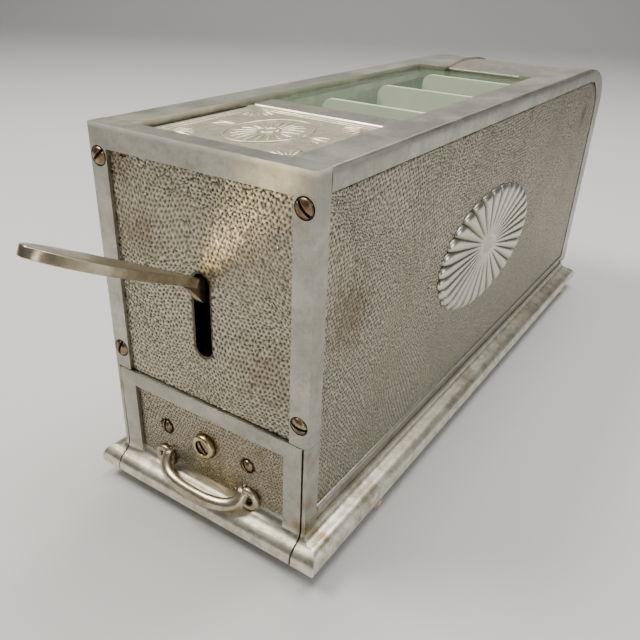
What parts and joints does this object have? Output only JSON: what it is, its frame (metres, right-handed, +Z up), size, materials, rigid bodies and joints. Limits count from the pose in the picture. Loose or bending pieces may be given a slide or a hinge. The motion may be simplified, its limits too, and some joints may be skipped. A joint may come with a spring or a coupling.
{
  "type": "coin sorting machine",
  "caption": "Counter-top coin sorting machine: cast body, coin slit, glass-topped bins, front hand lever and lockable coin drawer",
  "frame": {"origin": "centre of the bounding box in plan, on the table under the feet; lever at rest, drawer shut", "axes": "+Z up, +Y from the lever and drawer front to the rounded back, +X to the right as seen by the user in front"},
  "size_m": [0.1424, 0.4997, 0.195],
  "materials": {
    "casting": "aged cast aluminium, pebbled panels and satin rails",
    "steel_sheet": "plain sheet steel",
    "nickel": "worn nickel plate over brass",
    "brass": "tarnished brass",
    "glass": "clear plate glass with a green tint"
  },
  "bodies": {
    "body": {"left_side": "casting", "right_side": "casting", "front_plate": "casting", "front_screws": "nickel", "crossbar": "casting", "feed_plate": "casting", "window_glass": "glass", "rear_deck": "casting", "rear_cover": "casting", "rear_screws": "nickel", "base_plate": "steel_sheet", "base_screws": "steel_sheet", "feet": "brass", "runner_left": "steel_sheet", "runner_right": "steel_sheet", "coin_track": "casting", "sorting_rail": "casting", "partition_1": "casting", "partition_2": "casting", "partition_3": "casting", "bin_front_wall": "casting", "bin_rear_wall": "casting", "bin_floor": "steel_sheet", "gate_guide_left": "steel_sheet", "gate_guide_right": "steel_sheet", "lever_bracket": "steel_sheet", "bracket_screws": "steel_sheet", "lever_shaft": "steel_sheet", "return_spring": "steel_sheet", "lock_strike": "steel_sheet", "strike_screws": "steel_sheet"},
    "lever": {"lever_arm": "nickel", "lever_paddle": "nickel", "drive_pin": "steel_sheet"},
    "gate": {"gate_slide": "casting"},
    "drawer": {"drawer_front": "casting", "drawer_tray": "steel_sheet", "tray_dividers": "steel_sheet", "tray_screws": "nickel", "drawer_pull": "nickel", "pull_screws": "nickel", "lock_bezel": "brass", "lock_nut": "steel_sheet"},
    "lock": {"lock_barrel": "nickel", "lock_cam": "steel_sheet"}
  },
  "joints": [
    {"name": "lever_swing", "type": "hinge", "parent": "body", "child": "lever", "pos_m": [0, -0.13964, 0.117], "axis": [1, 0, 0], "range_deg": [0, 48], "stiffness_Nm_per_rad": 0.15, "springref_deg": -45.84},
    {"name": "gate_shift", "type": "slide", "parent": "body", "child": "gate", "axis": [0, 1, 0], "range_m": [0, 0.02603]},
    {"name": "drawer_slide", "type": "slide", "parent": "body", "child": "drawer", "axis": [0, -1, 0], "range_m": [0, 0.26]},
    {"name": "lock_turn", "type": "hinge", "parent": "drawer", "child": "lock", "pos_m": [-0.002, -0.16864, 0.045], "axis": [0, -1, 0], "range_deg": [0, 90]}
  ],
  "couplings": [
    {"joint": "gate_shift", "follows": "lever_swing", "m_per_rad": 0.03107}
  ]
}
